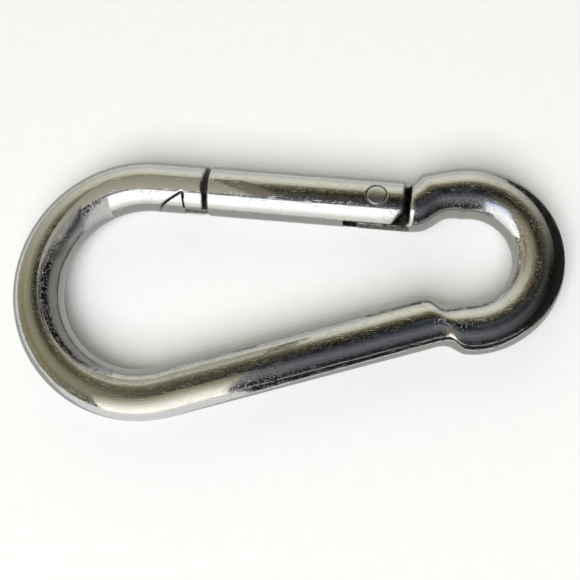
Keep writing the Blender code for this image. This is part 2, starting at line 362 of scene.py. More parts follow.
def markLayer(tree, where, turn, length, width, share):
    # one short straight mark in each stretched cell, kept in a share of the cells
    stretched = addNode(tree, "ShaderNodeMapping", None,
                        {"Vector": where, "Rotation": turn, "Scale": (1 / length, 1 / width, 1 / width)})
    cells = addNode(tree, "ShaderNodeTexVoronoi", None,
                    {"Vector": stretched.outputs["Vector"], "Scale": 1.0})
    dash = addNode(tree, "ShaderNodeMapRange", None,
                   {"Value": cells.outputs["Distance"], 1: 0.1, 2: 0.4, 3: 1.0, 4: 0.0})
    kept = addNode(tree, "ShaderNodeMath", {"operation": "LESS_THAN"}, {0: cells.outputs["Color"], 1: share})
    mark = addNode(tree, "ShaderNodeMath", {"operation": "MULTIPLY"},
                   {0: dash.outputs[0], 1: kept.outputs[0]})
    return mark.outputs[0]


zincSizes = {
    "tint": "#D2D1CB",          # bright clear-passivated zinc, a touch warm
    "coolTint": "#C6CAD0",
    "grimeAndShade": "#3A362E",         # oil and dust on milled faces, also painted shade in the gaps and slots they line and on the tongue inside the gate's slot
    "grimeSize": 1.3 * mm,
    "grimeReach": (0.2, 0.7),   # noise at which the grime is thinnest and thickest
    "grimeShare": (0.35, 1.0),
    "milledStart": 0.12 * mm,   # depth under the bar's skin where a milled face begins to show
    "milledRun": 0.35 * mm,
    "milledRoughness": 0.25,    # added to the plating's own
    "tintSize": 9 * mm,
    "grain": 0.5 * mm,          # plating crystals are far finer; this is the size that shows
    "grainHeight": 0.007 * mm,
    "wave": 3.0 * mm,           # cold-bent steel is never quite true
    "waveHeight": 0.036 * mm,
    "drawLength": 9 * mm,       # die lines left along the drawn bar
    "drawWidth": 0.3 * mm,
    "drawHeight": 0.0012 * mm,
    "pit": 0.3 * mm,            # dents from tumbling against other parts
    "pitShare": 0.5,
    "scratches": [              # turn, length, width and share of the cells
        ((0.0, 0.0, 0.6), 2.6 * mm, 0.26 * mm, 0.2),
        ((0.3, 0.0, 2.1), 1.8 * mm, 0.22 * mm, 0.2)],
    "dragMarks": ((0.0, 0.0, 0.12), 3.4 * mm, 0.24 * mm, 0.25),     # along the bar
    "markHeight": 0.02 * mm,
    "markRoughness": 0.12,
    "roughness": (0.06, 0.15),
}


def zincPlate(name, sizes, extraDirt=0.0):
    # Bright zinc plate on drawn steel, tumbled: mirror-like with fine pits, die lines and handling
    # scratches, so that reflections have ragged edges and dark bands fill with pale specks
    material = bpy.data.materials.new(name)
    material.use_nodes = True
    tree = material.node_tree
    shader = tree.nodes["Principled BSDF"]
    shader.inputs["Metallic"].default_value = 1.0
    where = addNode(tree, "ShaderNodeTexCoord").outputs["Object"]
    along = addNode(tree, "ShaderNodeAttribute", {"attribute_name": "straightened"}).outputs["Vector"]
    milledAndSlotShade = addNode(tree, "ShaderNodeAttribute", {"attribute_name": "milledAndSlotShade"}).outputs["Fac"]

    tintNoise = addNode(tree, "ShaderNodeTexNoise", None,
                        {"Vector": where, "Scale": 1 / sizes["tintSize"], "Detail": 2.0})
    tint = addNode(tree, "ShaderNodeMix", {"data_type": "RGBA"},
                   {0: tintNoise.outputs["Fac"], 6: linear(sizes["tint"]), 7: linear(sizes["coolTint"])})
    dirtNoise = addNode(tree, "ShaderNodeTexNoise", None,
                        {"Vector": where, "Scale": 1 / sizes["grimeSize"], "Detail": 3.0})
    (thin, thick), (least, most) = sizes["grimeReach"], sizes["grimeShare"]
    patchy = addNode(tree, "ShaderNodeMapRange", None,
                     {"Value": dirtNoise.outputs["Fac"], 1: thin, 2: thick, 3: least, 4: most})
    # patchy dirt on milled faces; where the mask also covers the tongue in the gate's slot, this dark colour
    # is painted shade
    dirtAndShadeMask = addNode(tree, "ShaderNodeMath", {"operation": "MULTIPLY_ADD", "use_clamp": True},
                       {0: patchy.outputs[0], 1: milledAndSlotShade, 2: extraDirt})
    dirtAndShadeColour = addNode(tree, "ShaderNodeMix", {"data_type": "RGBA"},
                    {0: dirtAndShadeMask.outputs[0], 6: tint.outputs[2], 7: linear(sizes["grimeAndShade"])})
    tree.links.new(dirtAndShadeColour.outputs[2], shader.inputs["Base Color"])

    grain = addNode(tree, "ShaderNodeTexNoise", None,
                    {"Vector": where, "Scale": 1 / sizes["grain"], "Detail": 3.0})
    wave = addNode(tree, "ShaderNodeTexNoise", None,
                   {"Vector": where, "Scale": 1 / sizes["wave"], "Detail": 1.0})
    lengthwise, crosswise = 1 / sizes["drawLength"], 1 / sizes["drawWidth"]
    drawn = addNode(tree, "ShaderNodeMapping", None,
                    {"Vector": along, "Scale": (lengthwise, crosswise, crosswise)})
    dieLines = addNode(tree, "ShaderNodeTexNoise", None,
                       {"Vector": drawn.outputs["Vector"], "Scale": 1.0, "Detail": 2.0})
    layers = [markLayer(tree, where, (0.0, 0.0, 0.0), sizes["pit"], sizes["pit"], sizes["pitShare"])]
    layers += [markLayer(tree, where, *scratch) for scratch in sizes["scratches"]]
    layers.append(markLayer(tree, along, *sizes["dragMarks"]))
    marks = layers[0]
    for layer in layers[1:]:
        marks = addNode(tree, "ShaderNodeMath", {"operation": "MAXIMUM"}, {0: marks, 1: layer}).outputs[0]

    normal = None
    for height, size in ((wave.outputs["Fac"], "waveHeight"), (dieLines.outputs["Fac"], "drawHeight"),
                         (grain.outputs["Fac"], "grainHeight"), (marks, "markHeight")):
        given = {"Height": height, "Distance": sizes[size], "Strength": 1.0}
        if normal:
            given["Normal"] = normal
        bump = addNode(tree, "ShaderNodeBump", {"invert": size == "markHeight"}, given)
        normal = bump.outputs["Normal"]
    tree.links.new(normal, shader.inputs["Normal"])

    low, high = sizes["roughness"]
    base = addNode(tree, "ShaderNodeMapRange", None,
                   {"Value": tintNoise.outputs["Fac"], 1: 0.3, 2: 0.7, 3: low, 4: high})
    worn = addNode(tree, "ShaderNodeMath", {"operation": "MULTIPLY_ADD"},
                   {0: marks, 1: sizes["markRoughness"], 2: base.outputs[0]})
    rough = addNode(tree, "ShaderNodeMath", {"operation": "MULTIPLY_ADD", "use_clamp": True},
                    {0: milledAndSlotShade, 1: sizes["milledRoughness"], 2: worn.outputs[0]})
    tree.links.new(rough.outputs[0], shader.inputs["Roughness"])
    return material


def dressBar(mesh, path):
    # two attributes for the plating: where a point would be on the straight bar, and whether it is milled
    truth = [Vector((x, y, barRadius)) for x, y, heading in path]
    lookup = KDTree(len(truth))
    lengths = [0.0]
    for i, point in enumerate(truth):
        lookup.insert(point, i)
        if i:
            lengths.append(lengths[-1] + (point - truth[i - 1]).length)
    lookup.balance()
    flat, cut = [], []
    for vertex in mesh.vertices:
        spot, index, distance = lookup.find(vertex.co)
        heading = path[index][2]
        offset = vertex.co - spot
        side = -offset.x * sin(heading) + offset.y * cos(heading)
        ahead = offset.x * cos(heading) + offset.y * sin(heading)
        flat += (lengths[index] + ahead, side, offset.z)
        depth = barRadius - sqrt(side * side + offset.z * offset.z)
        cut.append(min(1.0, max(0.0, (depth - zincSizes["milledStart"]) / zincSizes["milledRun"])))
    mesh.attributes.new("straightened", "FLOAT_VECTOR", "POINT").data.foreach_set("vector", flat)
    mesh.attributes.new("milledAndSlotShade", "FLOAT", "POINT").data.foreach_set("value", cut)


# Hook body

noseJoint = {
    "clearance": 0.3 * mm,
    "apex": (6.9 * mm, -1.9 * mm),
    "toe": (1.3 * mm, -5.25 * mm),
    "bearingRadius": 42.25 * mm,    # about the pivot
    "forkEnd": 6.6 * mm,
    "forkTop": -0.8 * mm,
    "apexRun": 0.4 * mm,            # the notch goes on this far past its apex
    "neckThickness": 3.0 * mm,
    "neckBottom": -5.0 * mm,
    "arcSteps": 12,
}
hinge = {
    "tongueThickness": 3.6 * mm,
    "tongueTop": 3.6 * mm,          # above the pivot
    "tongueReach": 5.4 * mm,
    "travel": radians(jointFacts["gate_hinge"]["range_deg"][1]),
    "rootOverlap": 1.2 * mm,        # how far the tongue reaches into the bar
    "arcSteps": 10,
    "camSteps": 16,
    "camOverrun": 1.03,             # the cam goes on a little past the full travel
    "slotStart": 42.25 * mm,
    "sideGap": 0.3 * mm,
    "rivetRadius": 2.1 * mm,
    "rivetGap": 0.1 * mm,
    "slotShadeStart": -8 * mm,          # along the gate from the pivot, where the tongue inside the gate's slot gets painted shade
    "slotShadeEnd": 7.3 * mm,
    "slotShadeSpill": 0.1 * mm,
    "plungerOffset": 1.4 * mm,
}
beyond = 2 * barRadius      # how far cutting tools reach past the bar
cutMargin = 1 * mm


def noseTriangle(gap):
    apexX, apexY = onGate(*noseJoint["apex"])
    toeX, toeY = onGate(*noseJoint["toe"])
    slope = atan2(apexY - toeY, apexX - toeX)
    shiftX, shiftY = gap * sin(slope), -gap * cos(slope)
    below = -barRadius - cutMargin - hookSizes["pivotOut"]
    reach = (below - toeY) / tan(slope)
    outline = [(toeX + reach + shiftX, below + shiftY)]
    top = apexY - gap
    radius = noseJoint["bearingRadius"] + gap
    steps, run = noseJoint["arcSteps"], noseJoint["apexRun"]
    for i in range(steps + 1):
        y = below + (top - below) * i / steps
        outline.append((-sqrt(radius * radius - y * y), y))
    outline.append((apexX - run + shiftX, apexY - run * tan(slope) + shiftY))
    return outline


def tongueOutline():
    # an arc over the pivot, a slope, and a cam: the involute of a circle as large as the plunger's offset
    shoulder, low = onGate(hookSizes["bodyShoulder"] + hinge["rootOverlap"], -barRadius - cutMargin)
    top, reach, offset = hinge["tongueTop"], hinge["tongueReach"], hinge["plungerOffset"]
    outline = [(shoulder, low), (shoulder, top)]
    for i in range(hinge["arcSteps"] + 1):
        angle = pi / 2 + hinge["travel"] * i / hinge["arcSteps"]
        outline.append((top * cos(angle), top * sin(angle)))
    lastX, lastY = outline[-1]
    outline.append((-reach, lastY - (reach + lastX) * tan(hinge["travel"])))
    for i in range(hinge["camSteps"] + 1):
        angle = hinge["travel"] * hinge["camOverrun"] * i / hinge["camSteps"]
        push = reach + offset * angle
        outline.append((-push * cos(angle) + offset * sin(angle), -push * sin(angle) - offset * cos(angle)))
    endX, endY = outline[-1]
    outline.append((endX + (endY - low) * tan(hinge["travel"]), low))
    return outline


def placed(mesh):
    mesh.transform(gateFrame)
    return mesh


def barSkin(name, start, end):
    return lathe(name, [(start, barRadius), (end, barRadius)], hookSizes["sides"], -hookSizes["pivotOut"])


def makeBody(material, tree, path):
    guide = guideObject(path)
    bar = runTree(guide, tree, {"Bar Radius": barRadius, "Sides": hookSizes["sides"], "Material": material})
    discard(guide)
    half = hinge["tongueThickness"] / 2
    tongue = carve("tongue", placed(plate("tongue", tongueOutline(), -half, half)),
                   [("INTERSECT", placed(barSkin("tongueSkin", -beyond, beyond)))])
    forkStart, forkTop = onGate(noseJoint["forkEnd"], noseJoint["forkTop"])
    forkOpen = onGate(hookSizes["noseFace"] + cutMargin, 0)[0]
    forkHalf = noseJoint["neckThickness"] / 2 + noseJoint["clearance"]
    exact = carve("bodyCuts", bar, [
        ("UNION", tongue),
        ("DIFFERENCE", placed(plate("notch", noseTriangle(0.0), -beyond, beyond))),
        ("DIFFERENCE", placed(block("fork", forkStart, forkOpen, -beyond, forkTop, forkHalf))),
        ("DIFFERENCE", placed(postMesh("tongueHole", hinge["rivetRadius"] + hinge["rivetGap"], beyond))),
    ])
    mesh = soften("bodySkin", exact, hookSizes["voxel"])
    steps = []
    for side, limits in ((-1, hookSizes["legStep"]), (1, hookSizes["gateStep"])):
        middle = bowX + (limits[0] + limits[1]) / 2
        steps += [Vector((middle, side * (hookSizes["eyeRadius"] + out)))
                  for out in (-barRadius, 0, barRadius)]
    mesh = melt(mesh, steps, hookSizes["stepMelt"], hookSizes["meltRounds"])
    dressBar(mesh, path)
    # painted shade: the tongue where it sits in the gate's slot gets the full dark mask; the mask is cleared
    # on the leg side and past the slot
    toGate = gateFrame.inverted()
    milledAndSlotShade = mesh.attributes["milledAndSlotShade"].data
    for vertex in mesh.vertices:
        spot = toGate @ vertex.co
        if spot.x > hinge["slotShadeEnd"] or vertex.co.y < 0:
            milledAndSlotShade[vertex.index].value = 0.0
        elif spot.x > hinge["slotShadeStart"] and abs(spot.z) < half + hinge["slotShadeSpill"]:
            milledAndSlotShade[vertex.index].value = 1.0
    mesh.materials.clear()
    mesh.materials.append(material)
    body = newObject("bent_bar", mesh)
    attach(body, "hook")
    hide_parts("hook_body")
    return body


# Gate

gateSizes = {
    "shoulder": 12.25 * mm,
    "heel": 55.1 * mm,
    "chamferStart": -2.6 * mm,
    "chamferRun": 3.2 * mm,
    "boreRadius": 2.8 * mm,
    "boreBottom": 20.0 * mm,
    "boreSides": 64,
    "rings": 80,
    "headOverlap": 2 * mm,          # the head and neck run into each other, and the neck into the bar
    "neckOverlap": 0.8 * mm,
    "voxel": 0.2 * mm,
    "lineSteps": 120,
}


def makeGate(material):
    shoulder, centre = onGate(gateSizes["shoulder"], 0)
    heel, corner = onGate(gateSizes["heel"], gateSizes["chamferStart"])
    taper = hookSizes["endTaper"]
    profile = [(shoulder, barRadius - taper), (shoulder + taper, barRadius)]
    profile += [(x, barRadius)
                for x in np.linspace(shoulder + taper, heel - taper, gateSizes["rings"] + 1)[1:]]
    profile += [(heel, barRadius - taper)]
    headStart = onGate(0, 0)[0]
    headEnd = onGate(noseJoint["forkEnd"] + gateSizes["headOverlap"], 0)[0]
    outline = plate("headOutline", noseTriangle(noseJoint["clearance"]), -beyond, beyond)
    head = carve("head", barSkin("head", headStart, headEnd), [("INTERSECT", outline)])
    neckStart, neckLow = onGate(noseJoint["forkEnd"] + noseJoint["clearance"], noseJoint["neckBottom"])
    neckTop = onGate(0, noseJoint["forkTop"] - noseJoint["clearance"])[1]
    slotStart = onGate(hinge["slotStart"], 0)[0]
    boreBottom = onGate(gateSizes["boreBottom"], 0)[0]
    run, past = gateSizes["chamferRun"], heel + cutMargin
    relief = [(heel, corner), (heel - run, corner - run), (heel - run, -beyond), (heel + run, -beyond),
              (heel + run, corner + run)]
    boreProfile = [(boreBottom, gateSizes["boreRadius"]), (past, gateSizes["boreRadius"])]
    exact = carve("gateCuts", lathe("gateBar", profile, hookSizes["sides"], centre), [
        ("UNION", head),
        ("UNION", block("neck", neckStart, shoulder + gateSizes["neckOverlap"], neckLow, neckTop,
                        noseJoint["neckThickness"] / 2)),
        ("DIFFERENCE", block("slot", slotStart, past, -beyond, hinge["tongueTop"] + hinge["sideGap"],
                             hinge["tongueThickness"] / 2 + hinge["sideGap"])),
        ("DIFFERENCE", lathe("bore", boreProfile, gateSizes["boreSides"], -hinge["plungerOffset"])),
        ("DIFFERENCE", postMesh("gateHole", hinge["rivetRadius"] + hinge["rivetGap"], beyond)),
        ("DIFFERENCE", plate("relief", relief, -beyond, beyond)),
    ])
    placed(exact)
    mesh = soften("gateSkin", exact, gateSizes["voxel"])
    start, end = linePoint(-cutMargin), linePoint(gateSizes["heel"] + cutMargin)
    steps = gateSizes["lineSteps"]
    line = [(*start.lerp(end, i / steps), -legTaper) for i in range(steps + 1)]
    dressBar(mesh, line)
    mesh.materials.clear()
    mesh.materials.append(material)
    piece = newObject("round_gate", mesh)
    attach(piece, "gate")
    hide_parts("gate")
    return piece


# Rivet

rivetSizes = {
    "dish": 0.05 * mm,          # the peened head is pressed in a little at its middle
    "dishShare": 0.75,          # of the head's radius
    "edge": 0.14 * mm,
    "sink": 0.02 * mm,
    "rings": 14,
    "crowding": 0.8,            # below 1 the rings crowd towards the rim
    "roughness": (0.2, 0.36),   # duller than the plating, from the peening
    "grimeAndShade": 0.05,
    "sides": 96,
}


def makeRivet(material):
    # both heads follow the gate's round surface, with a rolled edge and a shallow dish
    radius, rings, sides = hinge["rivetRadius"], rivetSizes["rings"], rivetSizes["sides"]
    centre = -hookSizes["pivotOut"]

    def headRing(share, top):
        r = radius * share
        points = []
        for k in range(sides):
            a = 2 * pi * k / sides
            x, y = r * cos(a), r * sin(a)
            surface = sqrt(barRadius * barRadius - (y - centre) ** 2)
            fromEdge = radius - r
            rolled = max(0.0, rivetSizes["edge"] - fromEdge)
            roll = rivetSizes["edge"] - sqrt(max(0.0, rivetSizes["edge"] ** 2 - rolled ** 2))
            dish = rivetSizes["dish"] * max(0.0, 1 - (share / rivetSizes["dishShare"]) ** 2)
            z = surface - roll - dish - rivetSizes["sink"]
            points.append((x, y, z if top else -z))
        return points

    shares = [((i + 1) / rings) ** rivetSizes["crowding"] for i in range(rings)]
    upper = [headRing(s, True) for s in shares]
    lower = [headRing(s, False) for s in shares]
    mesh = placed(skinRings("rivet", upper + lower[::-1]))
    mesh.shade_smooth()
    mesh.materials.append(material)
    pin = newObject("peened_rivet", mesh)
    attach(pin, "gate")
    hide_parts("hinge_rivet")
    return pin


# Spring

springSizes = {
    "turns": 12.0,
    "wireRadius": 0.36 * mm,
    "coilRadius": 2.02 * mm,
    "closedTurns": 1.4,         # dead coils at each end
    "endPitch": 0.8 * mm,
    "endGap": 0.1 * mm,
    "headRoom": 4.7 * mm,       # from the cam back to the spring's end, where the plunger's head is
    "steps": 40,                # points in each turn
    "wireSides": 16,
}


def springTree():
    # a helix whose end coils lie close together
    tree = bpy.data.node_groups.new("compressionSpring", "GeometryNodeTree")
    for name, kind in (("Turns", "Float"), ("Coil Radius", "Float"), ("Length", "Float"),
                       ("Closed Turns", "Float"), ("End Pitch", "Float"), ("Wire Radius", "Float"),
                       ("Steps", "Int"), ("Wire Sides", "Int"), ("Material", "Material")):
        tree.interface.new_socket(name, in_out="INPUT", socket_type="NodeSocket" + kind)
    tree.interface.new_socket("Geometry", in_out="OUTPUT", socket_type="NodeSocketGeometry")
    given = addNode(tree, "NodeGroupInput").outputs
    spiral = addNode(tree, "GeometryNodeCurveSpiral", None,
                     {"Resolution": given["Steps"], "Rotations": given["Turns"],
                      "Start Radius": given["Coil Radius"], "End Radius": given["Coil Radius"],
                      "Height": 0.0})

    # height along the helix: slow over the dead coils at both ends, even between them
    terms = {socket.name: socket for socket in given if socket.name}
    terms["share"] = addNode(tree, "GeometryNodeSplineParameter").outputs["Factor"]
    sums = [("turn", "MULTIPLY", "share", "Turns"),
            ("deadHeight", "MULTIPLY", "Closed Turns", "End Pitch"),
            ("bothDead", "MULTIPLY", "Closed Turns", 2.0),
            ("openTurns", "SUBTRACT", "Turns", "bothDead"),
            ("bothHeights", "MULTIPLY", "deadHeight", 2.0),
            ("openLength", "SUBTRACT", "Length", "bothHeights"),
            ("openPitch", "DIVIDE", "openLength", "openTurns"),
            ("firstTurns", "MINIMUM", "turn", "Closed Turns"),
            ("first", "MULTIPLY", "firstTurns", "End Pitch"),
            ("pastFirst", "SUBTRACT", "turn", "Closed Turns"),
            ("afterFirst", "MAXIMUM", "pastFirst", 0.0),
            ("middleTurns", "MINIMUM", "afterFirst", "openTurns"),
            ("middle", "MULTIPLY", "middleTurns", "openPitch"),
            ("pastMiddle", "SUBTRACT", "afterFirst", "openTurns"),
            ("lastTurns", "MAXIMUM", "pastMiddle", 0.0),
            ("last", "MULTIPLY", "lastTurns", "End Pitch"),
            ("lower", "ADD", "first", "middle"),
            ("height", "ADD", "lower", "last")]
    for name, operation, one, two in sums:
        terms[name] = addNode(tree, "ShaderNodeMath", {"operation": operation},
                              {0: terms.get(one, one), 1: terms.get(two, two)}).outputs[0]
    lift = addNode(tree, "ShaderNodeCombineXYZ", None, {"Z": terms["height"]})
    helix = addNode(tree, "GeometryNodeSetPosition", None,
                    {"Geometry": spiral.outputs["Curve"], "Offset": lift.outputs["Vector"]})
    wire = addNode(tree, "GeometryNodeCurvePrimitiveCircle", None,
                   {"Resolution": given["Wire Sides"], "Radius": given["Wire Radius"]})
    swept = addNode(tree, "GeometryNodeCurveToMesh", None,
                    {"Curve": helix.outputs["Geometry"], "Profile Curve": wire.outputs["Curve"],
                     "Fill Caps": True})
    real = addNode(tree, "GeometryNodeRealizeInstances", None, {"Geometry": swept.outputs["Mesh"]})
    dressed = addNode(tree, "GeometryNodeSetMaterial", None,
                      {"Geometry": real.outputs["Geometry"], "Material": given["Material"]})
    addNode(tree, "NodeGroupOutput", None, {"Geometry": dressed.outputs["Geometry"]})
    return tree


def makeSpring(material):
    host = newObject("springHost", bpy.data.meshes.new("springHost"))
    bottom = onGate(gateSizes["boreBottom"], 0)[0]
    top = -hinge["tongueReach"] - springSizes["headRoom"]
    margin = springSizes["endGap"] + springSizes["wireRadius"]
    length = top - bottom - 2 * margin
    mesh = runTree(host, springTree(), {
        "Turns": springSizes["turns"], "Coil Radius": springSizes["coilRadius"], "Length": length,
        "Closed Turns": springSizes["closedTurns"], "End Pitch": springSizes["endPitch"],
        "Wire Radius": springSizes["wireRadius"], "Steps": springSizes["steps"],
        "Wire Sides": springSizes["wireSides"], "Material": material})
    discard(host)
    lowEnd = Vector((bottom + margin, -hinge["plungerOffset"], 0))
    mesh.transform(gateFrame @ Matrix.Translation(lowEnd) @ Matrix.Rotation(pi / 2, 4, "Y"))
    mesh.shade_smooth()
    spring = newObject("return_spring", mesh)
    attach(spring, "gate")
    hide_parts("gate_spring")
    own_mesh(spring)
    return spring


# Plunger

plungerSizes = {
    "radius": 2.55 * mm,
    "headLength": 4.4 * mm,
    "dome": 1.4 * mm,
    "stemRadius": 1.1 * mm,
    "stemLength": 4.0 * mm,
    "tailShare": 0.4,           # the stem's end face, of its radius
    "bevel": 0.2 * mm,
    "gap": 0.1 * mm,
    "sides": 64,
    "domeSteps": 12,
    "domeSweep": radians(88),
}


def makePlunger(material):
    radius, stem, bevel = plungerSizes["radius"], plungerSizes["stemRadius"], plungerSizes["bevel"]
    tip = -hinge["tongueReach"] - plungerSizes["gap"]
    shoulder = tip - plungerSizes["headLength"]
    tail = shoulder - plungerSizes["stemLength"]
    profile = [(tail, stem * plungerSizes["tailShare"]), (tail, stem - bevel), (tail + bevel, stem),
               (shoulder - bevel, stem), (shoulder, stem + bevel), (shoulder, radius - bevel),
               (shoulder + bevel, radius)]
    dome, steps = plungerSizes["dome"], plungerSizes["domeSteps"]
    for i in range(steps + 1):
        angle = plungerSizes["domeSweep"] * i / steps
        profile.append((tip - dome + dome * sin(angle), radius * cos(angle)))
    mesh = placed(lathe("plunger", profile, plungerSizes["sides"], -hinge["plungerOffset"]))
    mesh.shade_smooth()
    mesh.set_sharp_from_angle(angle=radians(40))
    mesh.materials.append(material)
    piece = newObject("domed_plunger", mesh)
    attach(piece, "plunger")
    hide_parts("spring_plunger")
    return piece


steelSizes = {
    "wire": ("#A8A8AA", 0.22, 3 * mm),          # tint, roughness, spacing of its lines along the gate
    "turned": ("#B4B2AE", 0.25, 0.12 * mm),
    "stretch": 0.02,            # the lines are this much finer along the gate than across it
    "grooveHeight": 0.004 * mm,
    "stain": "#6E6A64",
    "stainSize": 2 * mm,
    "stainRoughness": 0.15,
}


def oiledSteel(name, tint, roughness, groove):
    # Plain hard steel, turned or drawn and oiled: darker than the plating, with fine rings or lines
    material = bpy.data.materials.new(name)
    material.use_nodes = True
    tree = material.node_tree
    shader = tree.nodes["Principled BSDF"]
    shader.inputs["Metallic"].default_value = 1.0
    where = addNode(tree, "ShaderNodeTexCoord").outputs["Object"]
    across = steelSizes["stretch"] / groove
    turned = addNode(tree, "ShaderNodeMapping", None, {"Vector": where, "Rotation": (0.0, 0.0, legTaper),
                                                       "Scale": (1 / groove, across, across)})
    lines = addNode(tree, "ShaderNodeTexNoise", None,
                    {"Vector": turned.outputs["Vector"], "Scale": 1.0, "Detail": 2.0})
    stain = addNode(tree, "ShaderNodeTexNoise", None,
                    {"Vector": where, "Scale": 1 / steelSizes["stainSize"], "Detail": 3.0})
    colour = addNode(tree, "ShaderNodeMix", {"data_type": "RGBA"},
                     {0: stain.outputs["Fac"], 6: linear(tint), 7: linear(steelSizes["stain"])})
    tree.links.new(colour.outputs[2], shader.inputs["Base Color"])
    bump = addNode(tree, "ShaderNodeBump", None,
                   {"Height": lines.outputs["Fac"], "Distance": steelSizes["grooveHeight"]})
    tree.links.new(bump.outputs["Normal"], shader.inputs["Normal"])
    rough = addNode(tree, "ShaderNodeMapRange", None,
                    {"Value": stain.outputs["Fac"], 1: 0.3, 2: 0.7, 3: roughness,
                     4: roughness + steelSizes["stainRoughness"]})
    tree.links.new(rough.outputs[0], shader.inputs["Roughness"])
    return material


# Studio

studio = {
    "target": (1.39 * mm, -3.19 * mm, 5.5 * mm),
    "azimuth": 21.32,
    "elevation": 75.64,
    "upTurn": 3.6,              # the camera's up leans this much from Y towards X
    "distance": 220 * mm,
    "focal": 63.28,
    "floorSize": 4.0,
    "floorDrop": 0.05 * mm,
    "fibre": 4 * mm,
    "overhead": ((-0.2, -0.8, 1.25), (0, 0, 0), (1.3, 1.3), 28, "#FAFBFF"),
}
wallSpan = 92       # degrees from straight up that each ramp below covers
# Colours of the surroundings by angle from straight up, for each side
walls = {
    "+Y": [(0, "#151516"), (11, "#2A2722"), (20, "#4E4738"), (29, "#746A52"), (36, "#9A9074"),
           (43, "#E3E0CB"), (60, "#FFFCEC"), (90, "#D9DAD4")],
    "-Y": [(0, "#17171C"), (14, "#343841"), (26, "#5C6067"), (41, "#7E7C84"), (58, "#706A70"),
           (74, "#2E2E30")],
    "-X": [(0, "#3A3830"), (12, "#605C4A"), (28, "#9C987E"), (43, "#A8A086"), (60, "#8E8766"),
           (75, "#9E9876"), (92, "#8E8A6E")],
    "+X": [(0, "#20242C"), (6, "#4E545C"), (22, "#2E3032"), (37, "#4A4942"), (50, "#1E2020"),
           (68, "#0A0A0C"), (90, "#121210")],
}


def makeCamera():
    data = bpy.data.cameras.new("camera")
    data.lens = studio["focal"]
    data.clip_start = 0.01
    camera = bpy.data.objects.new("camera", data)
    collection.objects.link(camera)
    a, e, t = radians(studio["azimuth"]), radians(studio["elevation"]), radians(studio["upTurn"])
    back = Vector((sin(a) * cos(e), -cos(a) * cos(e), sin(e)))
    right = Vector((sin(t), cos(t), 0)).cross(back).normalized()
    up = back.cross(right)
    place = Matrix((right, up, back)).transposed().to_4x4()
    place.translation = Vector(studio["target"]) + back * studio["distance"]
    camera.matrix_world = place
    bpy.context.scene.camera = camera


def makeFloor():
    form = bmesh.new()
    bmesh.ops.create_grid(form, x_segments=1, y_segments=1, size=studio["floorSize"] / 2)
    mesh = bpy.data.meshes.new("floor")
    form.to_mesh(mesh)
    form.free()
    mesh.transform(Matrix.Translation((0, 0, -studio["floorDrop"])))
    material = bpy.data.materials.new("palePaper")
    material.use_nodes = True
    tree = material.node_tree
    shader = tree.nodes["Principled BSDF"]
    shader.inputs["Roughness"].default_value = 0.9
    shader.inputs["Specular IOR Level"].default_value = 0.1
    where = addNode(tree, "ShaderNodeTexCoord").outputs["Object"]
    fibre = addNode(tree, "ShaderNodeTexNoise", None,
                    {"Vector": where, "Scale": 1 / studio["fibre"], "Detail": 2.0})
    colour = addNode(tree, "ShaderNodeMix", {"data_type": "RGBA"},
                     {0: fibre.outputs["Fac"], 6: linear("#F2F2F1"), 7: linear("#F6F6F5")})
    tree.links.new(colour.outputs[2], shader.inputs["Base Color"])
    mesh.materials.append(material)
    newObject("floor", mesh)


def makeWorld():
    # a dark ceiling behind the camera and a different wall on each side; the camera sees only pale grey
    world = bpy.data.worlds.new("studio")
    bpy.context.scene.world = world
    world.use_nodes = True
    tree = world.node_tree
    tree.nodes.clear()
    towards = addNode(tree, "ShaderNodeTexCoord").outputs["Generated"]
    parts = addNode(tree, "ShaderNodeSeparateXYZ", None, {"Vector": towards}).outputs

    upward = addNode(tree, "ShaderNodeClamp", None, {"Value": parts["Z"], "Min": -0.999, "Max": 0.999})
    height = addNode(tree, "ShaderNodeMath", {"operation": "ARCCOSINE"}, {0: upward.outputs[0]}).outputs[0]
    share = addNode(tree, "ShaderNodeMath", {"operation": "DIVIDE"},
                    {0: height, 1: radians(wallSpan)}).outputs[0]
    level = addNode(tree, "ShaderNodeMath", {"operation": "SINE"}, {0: height}).outputs[0]
    total = None
    for side, stops in walls.items():
        sign = 1.0 if side[0] == "+" else -1.0
        facing = addNode(tree, "ShaderNodeMath", {"operation": "DIVIDE"}, {0: parts[side[1]], 1: level})
        outward = addNode(tree, "ShaderNodeMath", {"operation": "MULTIPLY", "use_clamp": True},
                          {0: facing.outputs[0], 1: sign})
        weight = addNode(tree, "ShaderNodeMath", {"operation": "POWER"}, {0: outward.outputs[0], 1: 2.0})
        ramp = addNode(tree, "ShaderNodeValToRGB", None, {"Fac": share})
        ramp.color_ramp.interpolation = "EASE"
        setRamp(ramp.color_ramp, [(angle / wallSpan, linear(colour)) for angle, colour in stops])
        lit = addNode(tree, "ShaderNodeVectorMath", {"operation": "SCALE"},
                      {0: ramp.outputs["Color"], "Scale": weight.outputs[0]}).outputs[0]
        total = addNode(tree, "ShaderNodeVectorMath", {"operation": "ADD"}, {0: total, 1: lit}).outputs[0] \
            if total else lit
    seen = addNode(tree, "ShaderNodeBackground", None, {"Color": linear("#F0F0F0"), "Strength": 1.0})
    around = addNode(tree, "ShaderNodeBackground", None, {"Color": total, "Strength": 1.0})
    cameraRay = addNode(tree, "ShaderNodeLightPath").outputs["Is Camera Ray"]
    both = addNode(tree, "ShaderNodeMixShader", None,
                   {0: cameraRay, 1: around.outputs["Background"], 2: seen.outputs["Background"]})
    addNode(tree, "ShaderNodeOutputWorld", None, {"Surface": both.outputs["Shader"]})


